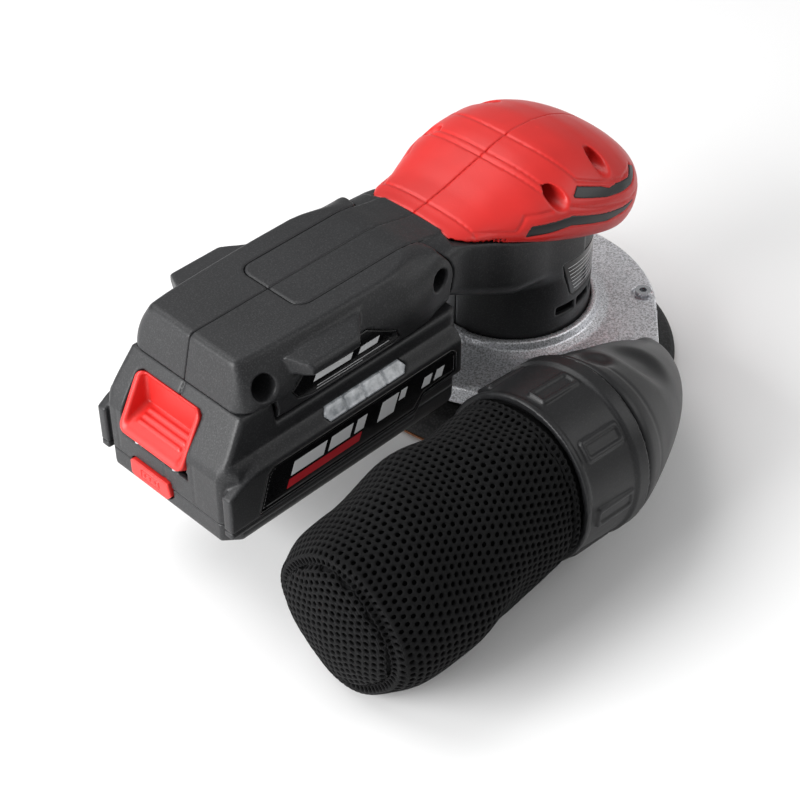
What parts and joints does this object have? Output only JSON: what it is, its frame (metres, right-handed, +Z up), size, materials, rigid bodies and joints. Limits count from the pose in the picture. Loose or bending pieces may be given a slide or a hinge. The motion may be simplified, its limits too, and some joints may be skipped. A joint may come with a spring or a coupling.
{
  "type": "cordless random orbit sander",
  "caption": "Cordless palm and two-hand random orbit sander with a round foam pad, slide-on battery under the rear handle and a mesh dust bag on a side elbow.",
  "frame": {"origin": "on the motor axis, at the working face of the abrasive disc", "axes": "+X forward from the handle to the palm head, +Y to the left side away from the dust bag, +Z up"},
  "size_m": [0.2797, 0.2064, 0.12],
  "materials": {
    "dark_plastic": "grained moulded plastic",
    "black_plastic": "matt moulded plastic",
    "red_plastic": "satin moulded plastic",
    "clear_plastic": "clear moulded plastic",
    "label": "glossy printed film",
    "silver_cast": "silver paint over a casting",
    "aluminium_part": "machined aluminium",
    "steel_part": "bright steel",
    "copper_wire": "enamelled copper",
    "board": "green circuit board",
    "cells": "sleeved cells",
    "foam": "closed-cell foam",
    "soft_rubber": "soft rubber",
    "mesh_fabric": "spacer mesh",
    "hook_fabric": "hook backing",
    "abrasive": "coated abrasive paper",
    "wires": "insulated wire"
  },
  "bodies": {
    "housing": {"handle_right": "dark_plastic", "handle_left": "dark_plastic", "motor_housing_right": "dark_plastic", "motor_housing_left": "dark_plastic", "head_right": "red_plastic", "head_left": "red_plastic", "rating_plate": "label", "side_label_right": "label", "side_label_left": "label", "switch_module": "black_plastic", "dial_sensor": "board", "controller_board": "board", "terminal_block": "black_plastic", "power_wires": "wires", "motor_sleeve": "aluminium_part", "stator_core": "steel_part", "stator_windings": "copper_wire", "upper_bearing": "steel_part", "lower_bearing": "steel_part", "cast_cover": "silver_cast", "cover_screws": "steel_part", "handle_screws": "steel_part", "head_screws": "steel_part", "brake_skirt": "soft_rubber", "dust_elbow": "dark_plastic", "elbow_seal": "soft_rubber"},
    "power_button_body": {"power_button": "red_plastic"},
    "speed_dial_body": {"speed_dial": "dark_plastic"},
    "spindle": {"rotor_core": "steel_part", "rotor_magnets": "aluminium_part", "motor_shaft": "steel_part", "cooling_fan": "black_plastic", "counterweight": "steel_part", "pad_bearing": "steel_part"},
    "pad": {"pad_spindle": "steel_part", "pad_plate": "black_plastic", "pad_foam": "foam", "hook_layer": "hook_fabric", "abrasive_disc": "abrasive", "pad_screw": "steel_part"},
    "bag": {"bag_frame": "black_plastic", "dust_bag": "mesh_fabric"},
    "collar": {"bag_collar": "dark_plastic"},
    "battery": {"battery_case_upper": "dark_plastic", "battery_case_lower": "dark_plastic", "battery_windows": "clear_plastic", "battery_label_right": "label", "battery_label_left": "label", "battery_cells": "cells", "cell_holder": "black_plastic", "battery_board": "board", "battery_contacts": "copper_wire", "latch_springs": "steel_part", "battery_screws": "steel_part"},
    "latch": {"battery_latch": "red_plastic"},
    "gauge": {"gauge_button": "red_plastic"}
  },
  "joints": [
    {"name": "power_press", "type": "slide", "parent": "housing", "child": "power_button_body", "axis": [-1, 0, 0], "range_m": [0, 0.0015], "stiffness_N_per_m": 800, "springref_m": -0.001},
    {"name": "dial_turn", "type": "hinge", "parent": "housing", "child": "speed_dial_body", "pos_m": [-0.05, 0.0206, 0.086], "axis": [0, 0, 1], "range_deg": [-135, 135]},
    {"name": "spindle_spin", "type": "hinge", "parent": "housing", "child": "spindle", "pos_m": [0, 0, 0.03], "axis": [0, 0, 1], "continuous": true},
    {"name": "pad_spin", "type": "hinge", "parent": "spindle", "child": "pad", "pos_m": [0.00125, 0, 0.02], "axis": [0, 0, 1], "continuous": true},
    {"name": "bag_pull", "type": "slide", "parent": "housing", "child": "bag", "axis": [-0.9957, 0, 0.0924], "range_m": [0, 0.045]},
    {"name": "collar_twist", "type": "hinge", "parent": "bag", "child": "collar", "pos_m": [-0.064, -0.0936, 0.0436], "axis": [-0.9957, 0, 0.0924], "range_deg": [0, 30]},
    {"name": "battery_slide", "type": "slide", "parent": "housing", "child": "battery", "axis": [-1, 0, 0], "range_m": [0, 0.115]},
    {"name": "latch_press", "type": "slide", "parent": "battery", "child": "latch", "axis": [-0.5, 0, -0.866], "range_m": [0, 0.0025], "stiffness_N_per_m": 900, "springref_m": -0.001, "deforming": ["latch_springs"]},
    {"name": "gauge_press", "type": "slide", "parent": "battery", "child": "gauge", "axis": [1, 0, 0], "range_m": [0, 0.0008], "stiffness_N_per_m": 800, "springref_m": -0.001}
  ]
}
